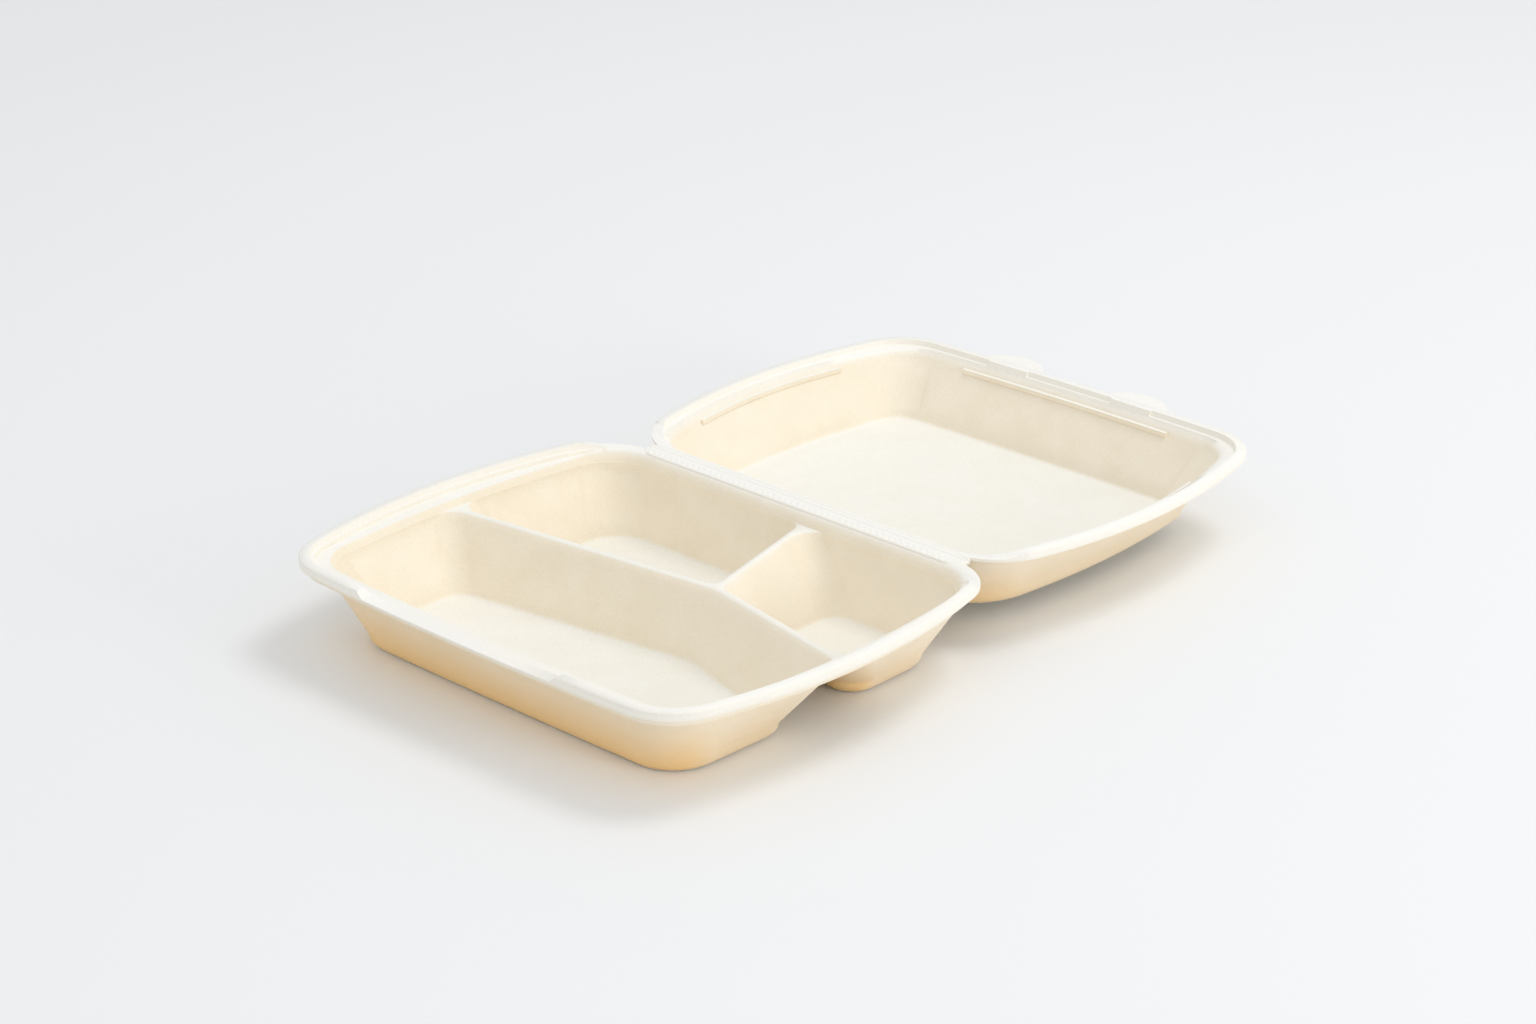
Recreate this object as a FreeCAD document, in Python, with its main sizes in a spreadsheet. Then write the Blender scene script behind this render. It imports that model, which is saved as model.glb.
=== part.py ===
import FreeCAD, Part
import math
import os

# Foam clamshell container: a three-compartment tray and a shallow lid of one formed foam sheet, lying open
# X runs along the hinge, Y from the tray to the lid, Z up; the tray stands on Z = 0
# u is the distance from the hinge axis, so y = -u on the tray and y = +u on the lid

os.makedirs("parts", exist_ok=True)
doc = FreeCAD.newDocument("clamshell_container")
TRAY, LID = -1, 1

# Driving sizes in mm
SIZES = {
    "tray_thickness": 2.6,
    "lid_thickness": 2.2,
    "rim_height": 38.0,
    "rim_skirt": 3.6,
    "rim_edge_bevel": 0.8,
    "lip_width": 4.2,
    "lip_draft": 0.6,
    "web_drop": 2.5,
    "step_drop": 2.2,
    "step_width": 1.2,
    "tray_land_drop": 4.0,
    "lid_land_drop": 2.2,
    "land_fall": 0.6,
    "lip_start": 12.0,
    "lip_full": 22.0,
    "strip_half_width": 2.0,
    "tray_width": 240.0,
    "tray_reach": 181.2,
    "tray_front_bow": 3.0,
    "tray_front_radius": 27.0,
    "side_bow": 15.0,
    "tray_hinge_radius": 28.0,
    "lid_hinge_radius": 31.0,
    "tray_flange": 13.0,
    "tray_flange_front": 13.4,
    "tray_mouth_bow": 7.5,
    "flange_hinge": 6.5,
    "mouth_hinge_radius": 21.0,
    "tray_bottom_width": 182.0,
    "tray_bottom_front": 163.5,
    "tray_bottom_hinge": 16.2,
    "tray_bottom_radius": 20.0,
    "lid_width": 226.5,
    "lid_reach": 174.8,
    "lid_far_bow": 2.5,
    "lid_far_radius": 27.0,
    "lid_depth": 31.0,
    "lid_flange": 10.5,
    "lid_flange_far": 10.0,
    "lid_bottom_width": 178.0,
    "lid_bottom_far": 153.2,
    "lid_bottom_hinge": 9.0,
    "lid_bottom_bow": 7.0,
    "lid_bottom_hinge_radius": 32.0,
    "lid_bottom_far_radius": 15.0,
    "bottom_bow": 0.8,
    "edge_round": 4.0,
    "floor_round": 3.2,
    "divider_drop": 7.5,
    "divider_width": 6.4,
    "divider_round": 2.6,
    "divider_draft": 6.0,
    "front_draft": 10.5,
    "front_draft_left": 14.6,
    "front_draft_right": 19.5,
    "small_cup_splay": 18.0,
    "divider_side": 94.5,
    "divider_knee": 76.3,
    "divider_knee_x": 26.5,
    "divider_rear_x": 7.2,
    "flare_radius": 9.0,
    "rear_flare_left": 5.0,
    "rear_flare_right": 9.0,
    "ledge_left": -59.0,
    "ledge_right": 52.0,
    "ledge_drop": 2.8,
    "ledge_ramp": 3.5,
    "tab_left_x": -38.0,
    "tab_right_x": 31.0,
    "tab_half_width": 16.5,
    "tab_reach": 11.5,
    "tab_thickness": 1.6,
    "tab_drop": 1.6,
    "tab_block_width": 22.0,
    "rib_drop": 5.0,
    "rib_thickness": 2.0,
    "rib_stand": 1.0,
    "side_rib_start": 42.0,
    "side_rib_end": 131.0,
    "far_rib_half": 57.0,
    "strip_thickness": 1.4,
    "strip_top_drop": 0.2,
    "strip_half_length": 80.0,
    "joint_clearance": 0.3,
}

sheet = doc.addObject("Spreadsheet::Sheet", "sizes")
for row, (name, value) in enumerate(SIZES.items(), start=1):
    sheet.set("A%d" % row, name)
    sheet.set("B%d" % row, str(value))
    sheet.setAlias("B%d" % row, name)
doc.recompute()


def size(name):
    return float(sheet.get(name))


TOP = size("rim_height")
WEB = TOP - size("web_drop")
DIVIDER_TOP = TOP - size("divider_drop")
LID_BOTTOM = TOP - size("lid_depth")
NEAR = size("strip_half_width")


# Outline geometry, drawn in the tray's sense: y = -u, so the hinge side is uppermost
class Line:
    """Straight side from p to q with the region on its left."""

    def __init__(self, p, q):
        length = math.hypot(q[0] - p[0], q[1] - p[1])
        self.normal = ((q[1] - p[1]) / length, (p[0] - q[0]) / length)
        self.reach = self.normal[0] * p[0] + self.normal[1] * p[1]

    def moved(self, grow):
        line = Line.__new__(Line)
        line.normal, line.reach = self.normal, self.reach + grow
        return line

    def touch(self, centre, radius):
        return (centre[0] + self.normal[0] * radius, centre[1] + self.normal[1] * radius)

    def middle(self, p, q):
        return None


class Bow:
    """Side bowed outward, an arc about a centre far inside or behind the region."""

    def __init__(self, centre, radius):
        self.centre = centre
        self.radius = radius

    def moved(self, grow):
        return Bow(self.centre, self.radius + grow)

    def touch(self, centre, radius):
        return on_circle(self.centre, self.radius, centre)

    def middle(self, p, q):
        return on_circle(self.centre, self.radius, ((p[0] + q[0]) / 2.0, (p[1] + q[1]) / 2.0))


def on_circle(centre, radius, toward):
    dx, dy = toward[0] - centre[0], toward[1] - centre[1]
    scale = radius / math.hypot(dx, dy)
    return (centre[0] + dx * scale, centre[1] + dy * scale)


def meet(first, second, guess):
    """Point where two sides meet, the one nearer the guess."""
    if isinstance(first, Line) and isinstance(second, Line):
        (a0, b0), (a1, b1) = first.normal, second.normal
        det = a0 * b1 - a1 * b0
        return ((first.reach * b1 - second.reach * b0) / det, (a0 * second.reach - a1 * first.reach) / det)
    if isinstance(first, Line) or isinstance(second, Line):
        line, bow = (first, second) if isinstance(first, Line) else (second, first)
        (a, b), (cx, cy) = line.normal, bow.centre
        gap = line.reach - a * cx - b * cy
        half = math.sqrt(bow.radius ** 2 - gap ** 2)
        points = [(cx + a * gap - k * b * half, cy + b * gap + k * a * half) for k in (-1, 1)]
    else:
        dx, dy = second.centre[0] - first.centre[0], second.centre[1] - first.centre[1]
        gap = math.hypot(dx, dy)
        along = (first.radius ** 2 - second.radius ** 2 + gap ** 2) / (2.0 * gap)
        across = math.sqrt(first.radius ** 2 - along ** 2)
        dx, dy = dx / gap, dy / gap
        x0, y0 = first.centre[0] + along * dx, first.centre[1] + along * dy
        points = [(x0 - k * across * dy, y0 + k * across * dx) for k in (-1, 1)]
    return min(points, key=lambda q: math.hypot(q[0] - guess[0], q[1] - guess[1]))


def region_wire(sides, z, grow=0.0, sense=TRAY):
    """Closed outline of (side, corner at its end, corner radius), moved outward by grow."""

    def at(point):
        return FreeCAD.Vector(point[0], -sense * point[1], z)

    count = len(sides)
    corners = []
    for i in range(count):
        side, guess, radius = sides[i]
        following = sides[(i + 1) % count][0]
        radius = max(radius + grow, 1.0)
        side, following = side.moved(grow), following.moved(grow)
        centre = meet(side.moved(-radius), following.moved(-radius), guess)
        start, end = side.touch(centre, radius), following.touch(centre, radius)
        middle = on_circle(centre, radius, ((start[0] + end[0]) / 2.0, (start[1] + end[1]) / 2.0))
        corners.append((start, middle, end))
    edges = []
    for i in range(count):
        side = sides[i][0].moved(grow)
        p, q = corners[i - 1][2], corners[i][0]
        middle = side.middle(p, q)
        edges.append(Part.makeLine(at(p), at(q)) if middle is None else Part.Arc(at(p), at(middle), at(q)).toShape())
        edges.append(Part.Arc(*[at(point) for point in corners[i]]).toShape())
    return Part.Wire(edges)


class Outline:
    """Straight hinge side, bowed sides and far side, rounded corners."""

    def __init__(self, sense, mid_width, near, far, side_bow, far_bow, near_radius, far_radius):
        self.sense = sense
        self.near, self.far_edge = near, far + far_bow
        self.near_radius, self.far_radius = near_radius, far_radius
        self.half = mid_width / 2.0 - side_bow
        chord = far - near
        radius = (chord ** 2 / 4.0 + side_bow ** 2) / (2.0 * side_bow)
        self.right = Bow((self.half + side_bow - radius, -(near + far) / 2.0), radius)
        self.left = Bow((-self.right.centre[0], self.right.centre[1]), radius)
        radius = (self.half ** 2 + far_bow ** 2) / (2.0 * far_bow)
        self.front = Bow((0.0, radius - self.far_edge), radius)

    def hinge_side(self, inset):
        return Line((self.half, -self.near - inset), (-self.half, -self.near - inset))

    def wire(self, z, inset=0.0, near_inset=None, near_radius=None, far_radius=None):
        near_inset = inset if near_inset is None else near_inset
        r0 = max(self.near_radius - inset if near_radius is None else near_radius, 1.0)
        r1 = max(self.far_radius - inset if far_radius is None else far_radius, 1.0)
        left, right = (-self.half, self.half)
        far, near = -self.far_edge, -self.near
        sides = [(self.left.moved(-inset), (left, far), r1), (self.front.moved(-inset), (right, far), r1),
                 (self.right.moved(-inset), (right, near), r0), (self.hinge_side(near_inset), (left, near), r0)]
        return region_wire(sides, z, 0.0, self.sense)


def loft(wires):
    return Part.makeLoft(wires, True, True)


def prism(wire, height):
    return Part.Face(wire).extrude(FreeCAD.Vector(0, 0, height))


def box(x0, x1, y0, y1, z0, z1):
    return Part.makeBox(x1 - x0, y1 - y0, z1 - z0, FreeCAD.Vector(x0, y0, z0))


def round_steps(radius):
    """Height above the floor and inset of the four sections that round a floor edge."""
    angles = [math.radians(a) for a in (0, 30, 60, 90)]
    return [(radius * (1 - math.sin(a)), radius * (1 - math.cos(a))) for a in angles]


# Bowl of a tray or lid: a mouth outline above, a floor outline below
class Bowl:
    def __init__(self, mouth, bottom, floor_z, wall):
        self.mouth = mouth
        self.bottom = bottom
        self.floor_z = floor_z
        self.wall = wall
        self.mouth_z = WEB - size("edge_round")

    def lean(self, z):
        """Inset of the wall below the mouth, along its slope towards the floor."""
        slope = (self.mouth.half - self.bottom.half + self.wall) / (self.mouth_z - self.floor_z)
        return max(slope, 0.1) * (self.mouth_z - z)

    def upper(self, z, inset):
        return self.mouth.wire(z, inset)

    def rounded_top(self):
        r = size("edge_round")
        return [self.upper(TOP + 1.0, -r - 1.0), self.upper(WEB, -r), self.upper(WEB - 0.3 * r, -0.35 * r),
                self.upper(self.mouth_z, 0.0)]

    def walls(self, floor_z, shift, top_wires):
        round_r = size("floor_round")
        steps = round_steps(round_r + self.wall - shift)
        return loft(top_wires + [self.bottom.wire(floor_z + rise, inset + shift - 0.35 * round_r)
                                 for rise, inset in steps])

    def cavity(self):
        return self.walls(self.floor_z + self.wall, self.wall, self.rounded_top())

    def outer(self, top):
        return self.walls(self.floor_z, 0.0, [self.upper(top, self.lean(top) - self.wall)])


# Rim: a raised lip round three sides, a lower land inside it and a level web along the hinge
def rim_plate(rim, wall, land_z):
    bevel = size("rim_edge_bevel")
    low = TOP - size("rim_skirt")
    lip = loft([rim.wire(TOP, bevel), rim.wire(TOP - bevel, 0.0), rim.wire(low, 0.0)])
    plate = prism(rim.wire(land_z - wall, size("lip_width") - wall / 2.0, 0.0), wall + 1.0)
    return lip.fuse(plate)


def along_x(points, sense):
    """Prism along X over a polygon of (distance from the hinge axis, height)."""
    corners = [FreeCAD.Vector(-200.0, sense * u, z) for u, z in points]
    return Part.Face(Part.makePolygon(corners + corners[:1])).extrude(FreeCAD.Vector(400.0, 0, 0))


def rim_relief(rim, land_z, step_z, gaps):
    """What is cut away above the land and above the web; each gap keeps the lip's height there."""
    lip, draft = size("lip_width"), size("lip_draft")
    foot = lip + draft
    start, full = size("lip_start"), size("lip_full")
    low, far = land_z - size("land_fall"), rim.far_edge + 5.0
    above = TOP + 2.0
    if step_z > land_z:
        ledge = foot + size("step_width")
        step = loft([rim.wire(step_z, foot), rim.wire(above, lip - draft)])
    else:
        ledge, step = foot, None
    inner = rim.wire(low, ledge + 6.0)
    top = rim.wire(above, ledge - (above - land_z) * draft / (TOP - land_z))
    pocket = loft([inner, rim.wire(land_z, ledge), top])
    if step is not None:
        pocket = pocket.fuse(step)
    deep = along_x([(-5, WEB), (start, WEB), (full, land_z), (full + 8.0, low - 1.0), (far, low - 1.0),
                    (far, above), (-5, above)], rim.sense)
    relief = pocket.common(deep)
    for x0, x1, depth in gaps:
        ys = sorted((rim.sense * (rim.far_edge - depth), rim.sense * far))
        relief = relief.cut(box(x0, x1, ys[0], ys[1], low - 2.0, above + 1.0))
    ramp = along_x([(-5, WEB), (start, WEB), (full, TOP), (full, above), (-5, above)], rim.sense)
    return [relief, ramp]


# Tray
def tray_rim():
    return Outline(TRAY, size("tray_width"), NEAR, NEAR + size("tray_reach"), size("side_bow"),
                   size("tray_front_bow"), size("tray_hinge_radius"), size("tray_front_radius"))


def tray_bowl():
    mouth = Outline(TRAY, size("tray_width") - 2.0 * size("tray_flange"), NEAR + size("flange_hinge"),
                    NEAR + size("tray_reach") - size("tray_flange_front"), size("tray_mouth_bow"),
                    size("tray_front_bow"), size("mouth_hinge_radius"), size("tray_front_radius") - 8.0)
    bow, radius = size("bottom_bow"), size("tray_bottom_radius")
    bottom = Outline(TRAY, size("tray_bottom_width"), size("tray_bottom_hinge"), size("tray_bottom_front"),
                     bow, bow, radius, radius)
    return Bowl(mouth, bottom, 0.0, size("tray_thickness"))


def divider_edges(half, foot):
    """Edges of the main divider left and right of its knee and of the rear divider, for each compartment."""
    side = size("tray_width") / 2.0
    knee = (size("divider_knee_x"), -size("divider_knee"))
    rear = (size("divider_rear_x"), -NEAR)
    left, right = (-side, -size("divider_side")), (side, -size("divider_side"))

    def edge(p, q, dy0, dy1, dx0=0.0, dx1=0.0):
        return Line((p[0] + dx0, p[1] + dy0), (q[0] + dx1, q[1] + dy1))

    def drafted(name):
        return half + (size(name) if foot else 0.0)

    lean = drafted("divider_draft")
    splay = size("small_cup_splay") if foot else 0.0
    return {
        "front_right": edge(right, knee, -drafted("front_draft_right"), -drafted("front_draft")),
        "front_left": edge(knee, left, -drafted("front_draft"), -drafted("front_draft_left")),
        "left_main": edge(left, knee, lean, lean),
        "left_rear": edge(knee, rear, 0.0, 0.0, -lean, -lean),
        "small_rear": edge(rear, knee, 0.0, 0.0, half + 1.4 * splay, half + 0.4 * splay),
        "small_main": edge(knee, right, half + splay, half + splay),
    }


def compartments(shape, edges, inset, near_radius, far_radius):
    """Outlines of the front, rear left and rear right compartments in one tray outline."""
    left, right, front = shape.left.moved(-inset), shape.right.moved(-inset), shape.front.moved(-inset)
    hinge = shape.hinge_side(inset)
    side, near, far = shape.half, -shape.near, -shape.far_edge
    knee = (size("divider_knee_x"), -size("divider_knee"))
    wall_y, rear_x = -size("divider_side"), size("divider_rear_x")
    flare = size("flare_radius")
    front_cup = [(left, (-side, far), far_radius), (front, (side, far), far_radius),
                 (right, (side, wall_y), flare), (edges["front_right"], knee, 2.0 * flare),
                 (edges["front_left"], (-side, wall_y), flare)]
    left_cup = [(left, (-side, wall_y), flare), (edges["left_main"], knee, 0.6 * flare),
                (edges["left_rear"], (rear_x, near), size("rear_flare_left")), (hinge, (-side, near), near_radius)]
    small_cup = [(edges["small_rear"], knee, 0.6 * flare), (edges["small_main"], (side, wall_y), flare),
                 (right, (side, near), near_radius), (hinge, (rear_x, near), size("rear_flare_right"))]
    return [front_cup, left_cup, small_cup]


def tray_cups(bowl, floor_z, grow, top_z, trim):
    """One tapering solid for each compartment; trim keeps its top just inside the bowl above it."""
    r = size("divider_round")
    half = size("divider_width") / 2.0
    mouth, bottom, wall = bowl.mouth, bowl.bottom, bowl.wall
    at_top = compartments(mouth, divider_edges(half, False), bowl.lean(DIVIDER_TOP) + trim,
                          mouth.near_radius, mouth.far_radius)
    at_floor = compartments(bottom, divider_edges(half, True), wall, bottom.near_radius - wall,
                            bottom.far_radius - wall)
    cups = []
    for top, low in zip(at_top, at_floor):
        if grow > 0.0:
            wires = [region_wire(top, top_z, grow)]
        else:
            rounded = [widened(top, w) for w in (r, 0.5 * r)]
            wires = [region_wire(rounded[0], top_z), region_wire(rounded[0], DIVIDER_TOP),
                     region_wire(rounded[1], DIVIDER_TOP - 0.2 * r), region_wire(top, DIVIDER_TOP - r)]
        for rise, inset in round_steps(size("floor_round") + grow):
            wires.append(region_wire(low, floor_z + rise, grow - inset + 0.35 * size("floor_round")))
        cups.append(loft(wires))
    return cups


def widened(sides, grow):
    """The same outline with only its divider sides moved outward."""
    return [(side.moved(grow) if isinstance(side, Line) and side.normal[1] < 0.999 else side, guess, radius)
            for side, guess, radius in sides]


def ledge_cutter(rim):
    """Prism over the stretch of the front lip that is lowered, with ramped ends."""
    left, right, ramp = size("ledge_left"), size("ledge_right"), size("ledge_ramp")
    z, above = TOP - size("ledge_drop"), TOP + 2.0
    back = rim.far_edge - size("tray_flange_front")
    slope = ramp * (above - z) / size("ledge_drop")
    points = [(left + ramp, z), (right - ramp, z), (right - ramp + slope, above),
              (left + ramp - slope, above)]
    corners = [FreeCAD.Vector(x, -back, h) for x, h in points]
    forward = FreeCAD.Vector(0, back - rim.far_edge - 2.0, 0)
    return Part.Face(Part.makePolygon(corners + corners[:1])).extrude(forward)


def build_tray():
    rim = tray_rim()
    bowl = tray_bowl()
    wall = bowl.wall
    land_z = TOP - size("tray_land_drop")
    web = DIVIDER_TOP - wall
    shell = loft([bowl.upper(land_z - wall + 0.2, -wall), bowl.upper(web, bowl.lean(web) - wall)])
    body = rim_plate(rim, wall, land_z)
    for piece in [shell] + tray_cups(bowl, 0.0, wall, web + 0.6, 0.08):
        body = body.fuse(piece)
    for tool in rim_relief(rim, land_z, TOP - size("step_drop"), []) + [ledge_cutter(rim)]:
        body = body.cut(tool)
    body = body.cut(loft(bowl.rounded_top() + [bowl.upper(DIVIDER_TOP, bowl.lean(DIVIDER_TOP))]))
    for cup in tray_cups(bowl, wall, 0.0, DIVIDER_TOP + 0.5, 0.08):
        body = body.cut(cup)
    return body.removeSplitter()


# Lid
def lid_rim():
    return Outline(LID, size("lid_width"), NEAR, NEAR + size("lid_reach"), size("side_bow"),
                   size("lid_far_bow"), size("lid_hinge_radius"), size("lid_far_radius"))


def lid_bowl():
    mouth = Outline(LID, size("lid_width") - 2.0 * size("lid_flange"), NEAR + size("flange_hinge"),
                    NEAR + size("lid_reach") - size("lid_flange_far"), size("side_bow"), size("lid_far_bow"),
                    size("mouth_hinge_radius"), size("lid_far_radius") - 8.0)
    bottom = Outline(LID, size("lid_bottom_width"), size("lid_bottom_hinge"), size("lid_bottom_far"),
                     size("lid_bottom_bow"), size("bottom_bow"), size("lid_bottom_hinge_radius"),
                     size("lid_bottom_far_radius"))
    return Bowl(mouth, bottom, LID_BOTTOM, size("lid_thickness"))


def lid_tab(rim, x):
    """Thin half-oval tongue standing out from the far edge."""
    half, reach, thick = size("tab_half_width"), size("tab_reach"), size("tab_thickness")
    inside = 3.0
    root = rim.far_edge - inside
    curve = Part.Ellipse(FreeCAD.Vector(x, root, 0), max(half, reach + inside), min(half, reach + inside)).toShape()
    tongue = Part.Face(Part.Wire(curve)).extrude(FreeCAD.Vector(0, 0, thick))
    tongue.translate(FreeCAD.Vector(0, 0, TOP - size("tab_drop") - thick))
    return tongue.common(box(x - half - 1, x + half + 1, root, root + reach + inside + 1.0, 0, TOP + 5))


def lid_ribs(bowl):
    """Narrow level ribs on the inner walls just below the mouth's rounded edge."""
    thick = size("rib_thickness")
    z = TOP - size("rib_drop") - thick
    band = prism(bowl.upper(z, -1.5), thick).cut(prism(bowl.upper(z - 1.0, size("rib_stand")), thick + 2.0))
    far, half = bowl.mouth.far_edge, size("far_rib_half")
    start, end = size("side_rib_start"), size("side_rib_end")
    windows = [box(-half, half, far - 20.0, far + 10.0, 0, TOP)]
    windows += [box(x0, x0 + 200.0, start, end, 0, TOP) for x0 in (-200.0, 0.0)]
    return [band.common(window) for window in windows]


def build_lid():
    rim = lid_rim()
    bowl = lid_bowl()
    land_z = TOP - size("lid_land_drop")
    tabs = (size("tab_left_x"), size("tab_right_x"))
    body = rim_plate(rim, bowl.wall, land_z).fuse(bowl.outer(land_z - bowl.wall + 0.2))
    for x in tabs:
        body = body.fuse(lid_tab(rim, x))
    half = size("tab_block_width") / 2.0
    gaps = [(x - half + 2.0, x + half + 2.0, size("lid_flange_far")) for x in tabs]
    for tool in rim_relief(rim, land_z, land_z, gaps) + [bowl.cavity()]:
        body = body.cut(tool)
    for rib in lid_ribs(bowl):
        body = body.fuse(rib)
    return body.removeSplitter()


# Placement: the bounding box centre over the origin
shift = (lid_rim().far_edge + size("tab_reach") - tray_rim().far_edge) / 2.0
placement = FreeCAD.Placement(FreeCAD.Vector(0, -shift, 0), FreeCAD.Rotation())


def add_feature(name, shape):
    feature = doc.addObject("Part::Feature", name)
    feature.Label = name
    feature.Shape = shape
    feature.Placement = placement
    return feature


tray = add_feature("tray", build_tray())
lid = add_feature("lid", build_lid())

# Hinge strip between the two rims, fixed to the tray
strip = doc.addObject("Part::Box", "hinge_strip")
strip.Label = "hinge_strip"
strip.setExpression("Length", "2 * sizes.strip_half_length")
strip.setExpression("Width", "2 * sizes.strip_half_width - sizes.joint_clearance")
strip.setExpression("Height", "sizes.strip_thickness")
strip.setExpression("Placement.Base.x", "-sizes.strip_half_length")
middle = "(sizes.lid_reach + sizes.lid_far_bow + sizes.tab_reach - sizes.tray_reach - sizes.tray_front_bow) / 2"
strip.setExpression("Placement.Base.y", "-sizes.strip_half_width - %s" % middle)
below = "sizes.web_drop - sizes.strip_top_drop - sizes.strip_thickness"
strip.setExpression("Placement.Base.z", "sizes.rim_height - %s" % below)
doc.recompute()

for node in (tray, lid, strip):
    assert not node.Shape.isNull() and node.Shape.isValid(), node.Label
    assert "Invalid" not in node.State and "Error" not in node.State, node.Label
    assert len(node.Shape.Solids) == 1, (node.Label, len(node.Shape.Solids))
    bounds = node.Shape.BoundBox
    print(node.Label, round(node.Shape.Volume, 1), len(node.Shape.Faces), bounds)
    node.Shape.exportStep("parts/%s.step" % node.Label)
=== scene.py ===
import math

import bmesh
import bpy
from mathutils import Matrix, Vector


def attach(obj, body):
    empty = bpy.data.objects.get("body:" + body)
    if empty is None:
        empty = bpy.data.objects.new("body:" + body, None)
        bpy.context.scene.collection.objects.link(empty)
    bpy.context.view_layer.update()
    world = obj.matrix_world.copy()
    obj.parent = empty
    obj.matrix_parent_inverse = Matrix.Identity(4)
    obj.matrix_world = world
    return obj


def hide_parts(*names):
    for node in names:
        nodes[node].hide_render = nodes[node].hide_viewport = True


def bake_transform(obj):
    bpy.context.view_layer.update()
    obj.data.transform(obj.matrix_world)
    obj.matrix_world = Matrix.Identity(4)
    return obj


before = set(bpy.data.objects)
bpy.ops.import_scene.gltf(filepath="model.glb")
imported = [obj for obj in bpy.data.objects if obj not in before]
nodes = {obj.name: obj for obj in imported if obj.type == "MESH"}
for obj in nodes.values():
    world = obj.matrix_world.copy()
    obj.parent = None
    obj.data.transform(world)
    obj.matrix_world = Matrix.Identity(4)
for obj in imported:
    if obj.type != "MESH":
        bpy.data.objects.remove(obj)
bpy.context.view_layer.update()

# Lengths are in metres. The hinge runs along X, with the tray at negative Y
# and the open lid at positive Y.

# Colours of the foam; the wall colours are painted shade, the rim colour a painted highlight
# and the warm colour painted warm shade low on the outside
FLAT_COLOURS = (0.935, 0.914, 0.832), (0.957, 0.940, 0.875)
# Painted shade: sloping walls are painted darker and warmer than the flats, standing in for
# their shade and the warm light through the foam
PAINTED_SHADE_WALL_COLOURS = (0.912, 0.820, 0.655), (0.945, 0.860, 0.708)
# Painted highlight: the rims are painted paler, as if more lit than the floors of the hollows
PAINTED_HIGHLIGHT_RIM_COLOUR = (0.965, 0.950, 0.903)
CLOUD_COLOUR = (0.950, 0.890, 0.775)
# Painted warm shade: golden orange painted low on the outer walls, standing in for the shade
# and warm bounce light near the floor
PAINTED_WARM_SHADE_COLOUR = (1.0, 0.65, 0.26)

# Patterns of the foam: scale, detail and roughness
GRAIN = (900.0, 2.0, 0.6)
BLOTCHES = (60.0, 3.0, 0.55)
CLOUDS = (14.0, 2.0, 0.5)
CELL_SCALE = 1150.0

# Mapped ranges: from low, from high, to low, to high
BLOTCH_SHARE = (0.35, 0.68, 0.0, 1.0)
CLOUD_SHARE = (0.35, 0.75, 0.0, 0.35)
# Painted highlight on the rims, by height
PAINTED_HIGHLIGHT_BY_HEIGHT = (0.031, 0.036, 0.0, 1.0)
# Painted shade on the walls: by how steep they slope, and less of it up at the rims
PAINTED_SHADE_BY_SLOPE = (0.94, 0.70, 0.0, 1.0)
PAINTED_SHADE_BY_HEIGHT = (0.0325, 0.0355, 1.0, 0.25)
CELL_SHADE = (0.05, 0.42, 0.95, 1.0)
# Painted warm shade low on the outside: by height, on faces that look down, not on the flat
# underside, most on faces to the front
PAINTED_WARM_SHADE_BY_HEIGHT = (0.0, 0.034, 1.0, 0.0)
PAINTED_WARM_SHADE_OVERHANG = (-0.25, 0.05, 1.0, 0.0)
PAINTED_WARM_SHADE_FRONT = (-0.5, 0.1, 0.95, 0.35)
PAINTED_WARM_SHADE_UNLESS_FLAT = (-0.96, -0.72, 0.12, 1.0)
ROUGHNESS = (0.3, 0.7, 0.42, 0.62)

# Surface of the foam
SPECULAR = 0.35
CELL_RELIEF = 0.8
GRAIN_BUMP = (0.35, 0.00025)         # strength, distance
BLOTCH_BUMP = (0.3, 0.0008)
WELD_DISTANCE = 0.00002
SHARP_ANGLE = math.radians(48)

# Hinge web
WEB_TOP = 0.0355                     # level of the rims along the hinge
WEB_UNDERSIDE = 0.0341
WEB_LIFT = 0.00028                   # of its middle above the rims
WEB_HALF = 0.0885
WEB_TRAY_EDGE, WEB_LID_EDGE = -0.0083, 0.0036
WEB_MIDDLE = -0.0023
WEB_STEP_X, WEB_STEP_Y = 0.00045, 0.00035
EDGE_FALL, EDGE_WIDTH = 0.0006, 0.0012
NARROW_FROM, NARROW_SHARE = 0.081, 0.7
DASH_ROWS = (-0.0067, -0.0050)
DASH_PITCH, DASH_LENGTH = 0.0033, 0.0021
DASH_DEPTH, DASH_HALF_WIDTH = 0.00032, 0.00055
DASH_END_SLOPE = 3
CREASES = (-0.0018, 0.0008)
CREASE_DEPTH, CREASE_HALF_WIDTH = 0.00055, 0.0008

# Camera
AZIMUTH, ELEVATION = math.radians(43.52), math.radians(22.82)
DISTANCE = 1.43034
TARGET = Vector((-0.0265, 0.00618, 0.02072))
LENS, SENSOR_WIDTH = 80.98, 36.0

# Light: name, place, target, size and power
LIGHTS = (
    ("key", (0.35, 0.80, 1.75), (0, 0, 0), 0.8, 8.6),
    ("side", (1.6, 0.15, 0.42), (0, 0, 0.02), 0.5, 4.6),
    ("fill", (0.2, -1.1, 1.5), (0, 0, 0), 1.0, 1.4),
)
LIGHT_COLOUR = (1.0, 0.985, 0.965)
WORLD_COLOUR, WORLD_STRENGTH = (0.97, 0.985, 1.0), 0.75

# Floor
FLOOR_REACH = 20
FLOOR_NOISE = (1.3, 2.0)             # scale, detail
FLOOR_COLOURS = (0.885, 0.893, 0.9), (0.905, 0.912, 0.918)
FLOOR_ROUGHNESS = 0.6


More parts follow.
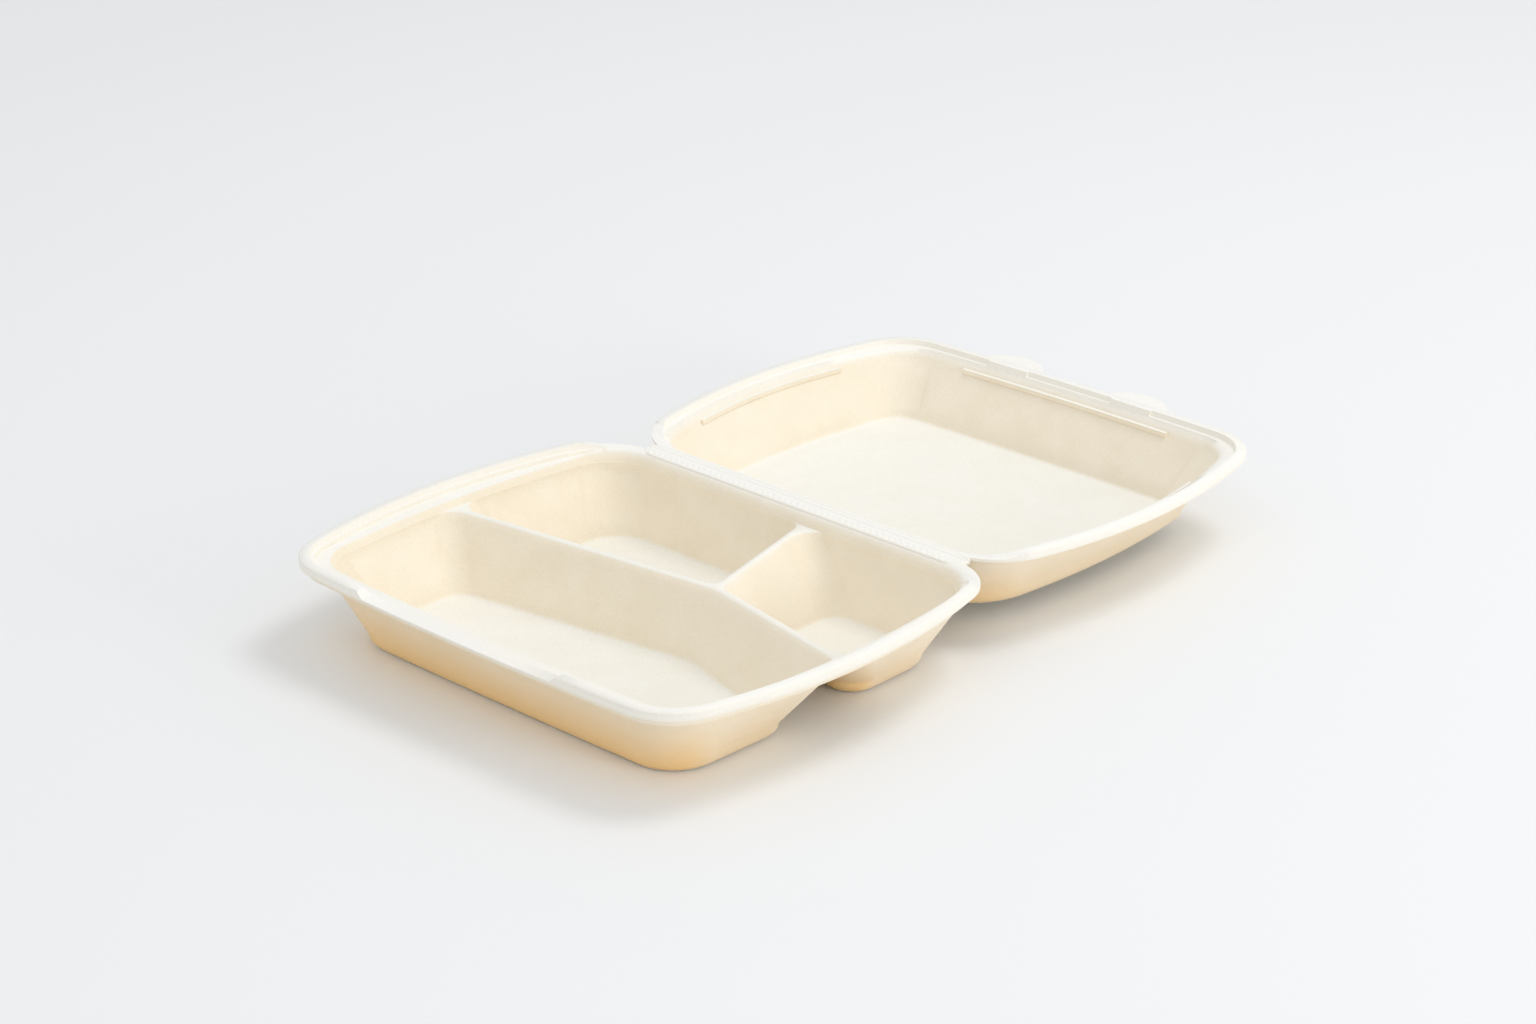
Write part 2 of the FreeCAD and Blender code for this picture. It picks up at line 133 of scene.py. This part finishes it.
class Nodes:
    """Shader nodes of one material"""

    def __init__(self, name):
        self.material = bpy.data.materials.new(name)
        self.material.use_nodes = True
        self.tree = self.material.node_tree
        self.shader = self.tree.nodes["Principled BSDF"]

    def add(self, kind, **settings):
        node = self.tree.nodes.new("ShaderNode" + kind)
        for key, value in settings.items():
            setattr(node, key, value)
        return node

    def join(self, source, target):
        self.tree.links.new(source, target)

    def fill(self, slot, value):
        """Join an output to the slot, or set a number or a colour on it"""
        if isinstance(value, (int, float)):
            slot.default_value = value
        elif isinstance(value, tuple):
            slot.default_value = (*value, 1)
        else:
            self.join(value, slot)

    def split(self, source):
        node = self.add("SeparateXYZ")
        self.join(source, node.inputs[0])
        return node.outputs

    def noise(self, place, scale, detail=2.0, rough=0.5):
        node = self.add("TexNoise")
        node.inputs["Scale"].default_value = scale
        node.inputs["Detail"].default_value = detail
        node.inputs["Roughness"].default_value = rough
        self.join(place, node.inputs["Vector"])
        return node.outputs["Fac"]

    def cells(self, place, scale):
        node = self.add("TexVoronoi")
        node.inputs["Scale"].default_value = scale
        self.join(place, node.inputs["Vector"])
        return node.outputs["Distance"]

    def ramp(self, value, low, high, out_low, out_high):
        node = self.add("MapRange")
        node.inputs["From Min"].default_value = low
        node.inputs["From Max"].default_value = high
        node.inputs["To Min"].default_value = out_low
        node.inputs["To Max"].default_value = out_high
        self.join(value, node.inputs["Value"])
        return node.outputs["Result"]

    def maths(self, operation, a, b):
        node = self.add("Math", operation=operation)
        for slot, value in zip(node.inputs, (a, b)):
            self.fill(slot, value)
        return node.outputs[0]

    def product(self, *values):
        result = values[0]
        for value in values[1:]:
            result = self.maths("MULTIPLY", result, value)
        return result

    def mix(self, factor, a, b, blend_type="MIX"):
        node = self.add("Mix", data_type="RGBA", blend_type=blend_type)
        for slot, value in ((0, factor), (6, a), (7, b)):
            self.fill(node.inputs[slot], value)
        return node.outputs[2]

    def grey(self, value):
        node = self.add("CombineColor")
        for slot in node.inputs:
            self.join(value, slot)
        return node.outputs[0]

    def bump(self, height, strength, distance, normal=None):
        node = self.add("Bump")
        node.inputs["Strength"].default_value = strength
        node.inputs["Distance"].default_value = distance
        self.join(height, node.inputs["Height"])
        if normal:
            self.join(normal, node.inputs["Normal"])
        return node.outputs["Normal"]


def foam():
    """Pale foam with painted light: walls painted darker and creamier as painted shade, rims
    painted paler as a painted highlight, and golden painted shade low on the outside
    """
    n = Nodes("foam")
    coordinates = n.add("TexCoord").outputs
    place = coordinates["Object"]
    height = n.split(place)["Z"]
    facing = n.split(coordinates["Normal"])

    cells = n.cells(place, CELL_SCALE)
    grain = n.noise(place, *GRAIN)
    blotches = n.noise(place, *BLOTCHES)
    clouds = n.noise(place, *CLOUDS)

    patch = n.ramp(blotches, *BLOTCH_SHARE)
    flat = n.mix(patch, *FLAT_COLOURS)
    shaded_wall_colour = n.mix(patch, *PAINTED_SHADE_WALL_COLOURS)
    # Painted highlight: the rims up high are painted paler
    level = n.mix(n.ramp(height, *PAINTED_HIGHLIGHT_BY_HEIGHT), flat, PAINTED_HIGHLIGHT_RIM_COLOUR)
    # Painted shade: steep walls below the rims are painted darker and warmer
    painted_wall_shade = n.product(n.ramp(facing["Z"], *PAINTED_SHADE_BY_SLOPE), n.ramp(height, *PAINTED_SHADE_BY_HEIGHT))
    pale = n.mix(painted_wall_shade, level, shaded_wall_colour)
    pale = n.mix(n.ramp(clouds, *CLOUD_SHARE), pale, CLOUD_COLOUR)
    # Painted warm shade low on the outer walls near the floor
    painted_warm_shade = n.product(
        n.ramp(height, *PAINTED_WARM_SHADE_BY_HEIGHT),
        n.ramp(facing["Z"], *PAINTED_WARM_SHADE_OVERHANG),
        n.ramp(facing["Z"], *PAINTED_WARM_SHADE_UNLESS_FLAT),
        n.ramp(facing["Y"], *PAINTED_WARM_SHADE_FRONT),
    )
    colour_with_warm_shade = n.mix(painted_warm_shade, pale, PAINTED_WARM_SHADE_COLOUR)
    shade = n.grey(n.ramp(cells, *CELL_SHADE))
    n.join(n.mix(1.0, colour_with_warm_shade, shade, "MULTIPLY"), n.shader.inputs["Base Color"])

    n.join(n.ramp(grain, *ROUGHNESS), n.shader.inputs["Roughness"])
    n.shader.inputs["Specular IOR Level"].default_value = SPECULAR
    pores = n.maths("ADD", grain, n.product(cells, CELL_RELIEF))
    normal = n.bump(blotches, *BLOTCH_BUMP, n.bump(pores, *GRAIN_BUMP))
    n.join(normal, n.shader.inputs["Normal"])
    return n.material


def add_object(name, data):
    obj = bpy.data.objects.new(name, data)
    bpy.context.scene.collection.objects.link(obj)
    return obj


def aim(obj, direction):
    obj.rotation_mode = "QUATERNION"
    obj.rotation_quaternion = direction.to_track_quat("-Z", "Y")


def moulded(name, body, material):
    """Tray or lid: the mesh of the solid, joined up and shaded softly over its small faces"""
    mesh = nodes[name].data.copy()
    mesh.name = name + "_foam"
    work = bmesh.new()
    work.from_mesh(mesh)
    bmesh.ops.remove_doubles(work, verts=work.verts, dist=WELD_DISTANCE)
    for face in work.faces:
        face.smooth = True
    work.to_mesh(mesh)
    work.free()
    for attribute in ("custom_normal", "sharp_edge", "sharp_face"):
        if attribute in mesh.attributes:
            mesh.attributes.remove(mesh.attributes[attribute])
    mesh.set_sharp_from_angle(angle=SHARP_ANGLE)
    mesh.materials.clear()
    mesh.materials.append(material)
    obj = add_object(name + "_foam", mesh)
    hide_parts(name)
    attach(obj, body)


def web_height(x, y):
    """Level of the web's top: edges rounded down, rows of pressed dashes, two creases"""
    edge = min(y - WEB_TRAY_EDGE, WEB_LID_EDGE - y, WEB_HALF - abs(x))
    z = WEB_TOP + WEB_LIFT - EDGE_FALL * max(0.0, 1 - edge / EDGE_WIDTH) ** 2
    for row, middle in enumerate(DASH_ROWS):
        across = abs(y - middle) / DASH_HALF_WIDTH
        shifted = (x + 0.5 * DASH_PITCH * row) % DASH_PITCH
        along = abs(shifted - 0.5 * DASH_PITCH) / (0.5 * DASH_LENGTH)
        if across < 1 and along < 1:
            z -= DASH_DEPTH * (1 - across ** 2) * min(1.0, DASH_END_SLOPE * (1 - along))
    for middle in CREASES:
        z -= CREASE_DEPTH * max(0.0, 1 - abs(y - middle) / CREASE_HALF_WIDTH)
    return z


def web_top():
    """Grid of the web's top, narrowed towards its two ends"""
    columns = round(2 * WEB_HALF / WEB_STEP_X)
    rows = round((WEB_LID_EDGE - WEB_TRAY_EDGE) / WEB_STEP_Y)
    verts = []
    for j in range(rows + 1):
        y = WEB_TRAY_EDGE + (WEB_LID_EDGE - WEB_TRAY_EDGE) * j / rows
        for i in range(columns + 1):
            x = -WEB_HALF + 2 * WEB_HALF * i / columns
            past = max(0.0, (abs(x) - NARROW_FROM) / (WEB_HALF - NARROW_FROM))
            narrow = 1 - NARROW_SHARE * past ** 2
            verts.append((x, WEB_MIDDLE + (y - WEB_MIDDLE) * narrow, web_height(x, y)))
    wide = columns + 1
    faces = []
    for j in range(rows):
        for i in range(columns):
            a = j * wide + i
            faces.append((a, a + 1, a + 1 + wide, a + wide))
    mesh = bpy.data.meshes.new("hinge_web")
    mesh.from_pydata(verts, [], faces)
    return mesh


def hinge_web(material):
    """Thin web between tray and lid"""
    mesh = web_top()
    mesh.materials.append(material)
    obj = add_object("hinge_web", mesh)
    solid = bmesh.new()
    solid.from_mesh(mesh)
    border = [e for e in solid.edges if e.is_boundary]
    grown = bmesh.ops.extrude_edge_only(solid, edges=border)["geom"]
    for item in grown:
        if isinstance(item, bmesh.types.BMVert):
            item.co.z = WEB_UNDERSIDE
    bmesh.ops.contextual_create(solid, geom=[e for e in solid.edges if e.is_boundary])
    bmesh.ops.recalc_face_normals(solid, faces=solid.faces)
    for face in solid.faces:
        face.smooth = len(face.verts) == 4
    solid.to_mesh(mesh)
    solid.free()
    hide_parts("hinge_strip")
    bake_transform(obj)


def camera():
    back = Vector((math.sin(AZIMUTH) * math.cos(ELEVATION),
                   -math.cos(AZIMUTH) * math.cos(ELEVATION),
                   math.sin(ELEVATION)))
    data = bpy.data.cameras.new("camera")
    data.lens, data.sensor_width = LENS, SENSOR_WIDTH
    obj = add_object("camera", data)
    obj.location = TARGET + back * DISTANCE
    aim(obj, -back)
    bpy.context.scene.camera = obj


def studio():
    world = bpy.data.worlds.new("studio")
    bpy.context.scene.world = world
    world.use_nodes = True
    background = world.node_tree.nodes["Background"]
    background.inputs["Color"].default_value = (*WORLD_COLOUR, 1)
    background.inputs["Strength"].default_value = WORLD_STRENGTH
    bpy.context.scene.view_settings.view_transform = "Standard"
    for name, place, target, size, power in LIGHTS:
        data = bpy.data.lights.new(name, "AREA")
        data.shape, data.size, data.energy, data.color = "DISK", size, power, LIGHT_COLOUR
        obj = add_object(name, data)
        obj.location = place
        aim(obj, Vector(target) - Vector(place))


def floor():
    n = Nodes("floor")
    place = n.add("TexCoord").outputs["Object"]
    colour = n.mix(n.noise(place, *FLOOR_NOISE), *FLOOR_COLOURS)
    n.join(colour, n.shader.inputs["Base Color"])
    n.shader.inputs["Roughness"].default_value = FLOOR_ROUGHNESS
    r = FLOOR_REACH
    mesh = bpy.data.meshes.new("floor")
    mesh.from_pydata([(-r, -r, 0), (r, -r, 0), (r, r, 0), (-r, r, 0)], [], [(0, 1, 2, 3)])
    mesh.materials.append(n.material)
    obj = add_object("floor", mesh)


camera()
studio()
floor()
foam_material = foam()
moulded("tray", "tray_body", foam_material)
moulded("lid", "lid_body", foam_material)
hinge_web(foam_material)
